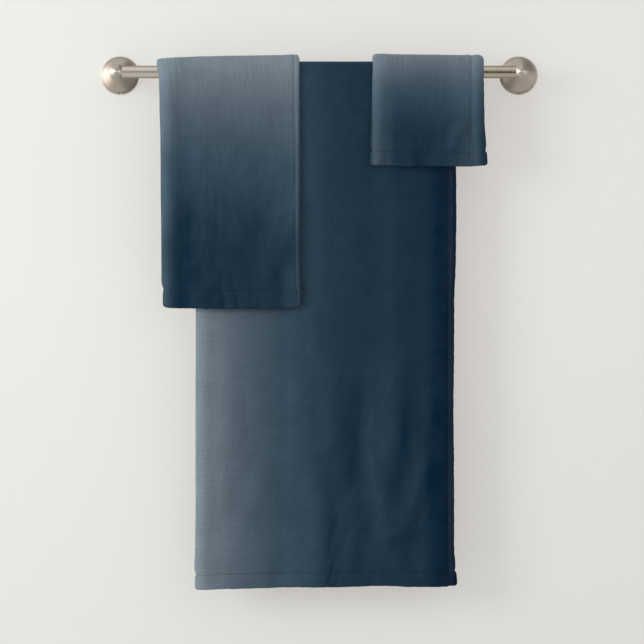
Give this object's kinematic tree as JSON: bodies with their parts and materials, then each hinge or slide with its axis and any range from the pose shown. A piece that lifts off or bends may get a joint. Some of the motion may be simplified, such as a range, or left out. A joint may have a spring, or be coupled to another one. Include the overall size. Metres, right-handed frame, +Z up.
{
  "type": "bath towel set",
  "caption": "Bath towel, hand towel and washcloth folded lengthwise and hung over a wall-mounted bar with round posts.",
  "frame": {"origin": "on the wall plane, midway between the two posts and level with the bar's axis", "axes": "+X along the bar to the right as seen from the room, +Y into the wall, +Z up; -Y points into the room"},
  "size_m": [0.6676, 0.1329, 0.803],
  "materials": {
    "bath_cloth": "matte",
    "hand_cloth": "matte",
    "wash_cloth": "matte",
    "brushed_nickel": "satin",
    "cast_zinc": "satin",
    "dark_steel": "satin",
    "zinc_screw": "satin",
    "plug_plastic": "matte"
  },
  "bodies": {
    "root": {"left_post": "brushed_nickel", "left_set_screw": "dark_steel", "left_wall_bracket": "cast_zinc", "right_post": "brushed_nickel", "right_set_screw": "dark_steel", "right_wall_bracket": "cast_zinc", "wall_plugs": "plug_plastic", "wall_screws": "zinc_screw"},
    "bar": {"bar_tube": "brushed_nickel"},
    "bath_towel": {"bath_towel_back_face": "bath_cloth", "bath_towel_back_face_hem": "bath_cloth", "bath_towel_back_under": "bath_cloth", "bath_towel_back_under_hem": "bath_cloth", "bath_towel_front_upper_face": "bath_cloth", "bath_towel_front_upper_under": "bath_cloth", "bath_towel_saddle_face": "bath_cloth", "bath_towel_saddle_under": "bath_cloth"},
    "bath_towel_lower_front": {"bath_towel_front_lower_face": "bath_cloth", "bath_towel_front_lower_face_hem": "bath_cloth", "bath_towel_front_lower_under": "bath_cloth", "bath_towel_front_lower_under_hem": "bath_cloth"},
    "hand_towel": {"hand_towel_back_face": "hand_cloth", "hand_towel_back_face_hem": "hand_cloth", "hand_towel_back_under": "hand_cloth", "hand_towel_back_under_hem": "hand_cloth", "hand_towel_saddle_face": "hand_cloth", "hand_towel_saddle_under": "hand_cloth"},
    "hand_towel_front": {"hand_towel_front_face": "hand_cloth", "hand_towel_front_face_hem": "hand_cloth", "hand_towel_front_under": "hand_cloth", "hand_towel_front_under_hem": "hand_cloth"},
    "washcloth": {"washcloth_back_face": "wash_cloth", "washcloth_back_face_hem": "wash_cloth", "washcloth_back_under": "wash_cloth", "washcloth_back_under_hem": "wash_cloth", "washcloth_saddle_face": "wash_cloth", "washcloth_saddle_under": "wash_cloth"},
    "washcloth_front": {"washcloth_front_face": "wash_cloth", "washcloth_front_face_hem": "wash_cloth", "washcloth_front_under": "wash_cloth", "washcloth_front_under_hem": "wash_cloth"}
  },
  "joints": [
    {"name": "bar_spin", "type": "hinge", "parent": "root", "child": "bar", "pos_m": [0, -0.066, 0], "axis": [1, 0, 0], "continuous": true},
    {"name": "bath_towel_slide", "type": "slide", "parent": "root", "child": "bath_towel", "axis": [1, 0, 0], "range_m": [-0.08, 0.07]},
    {"name": "bath_towel_lift", "type": "hinge", "parent": "bath_towel", "child": "bath_towel_lower_front", "pos_m": [0, -0.0819, -0.366], "axis": [-1, 0, 0], "range_deg": [0, 35]},
    {"name": "hand_towel_slide", "type": "slide", "parent": "root", "child": "hand_towel", "axis": [1, 0, 0], "range_m": [-0.028, 0.045]},
    {"name": "hand_towel_lift", "type": "hinge", "parent": "hand_towel", "child": "hand_towel_front", "pos_m": [0, -0.066, 0], "axis": [-1, 0, 0], "range_deg": [0, 60]},
    {"name": "washcloth_slide", "type": "slide", "parent": "root", "child": "washcloth", "axis": [1, 0, 0], "range_m": [-0.045, 0.027]},
    {"name": "washcloth_lift", "type": "hinge", "parent": "washcloth", "child": "washcloth_front", "pos_m": [0, -0.066, 0], "axis": [-1, 0, 0], "range_deg": [0, 60]}
  ]
}
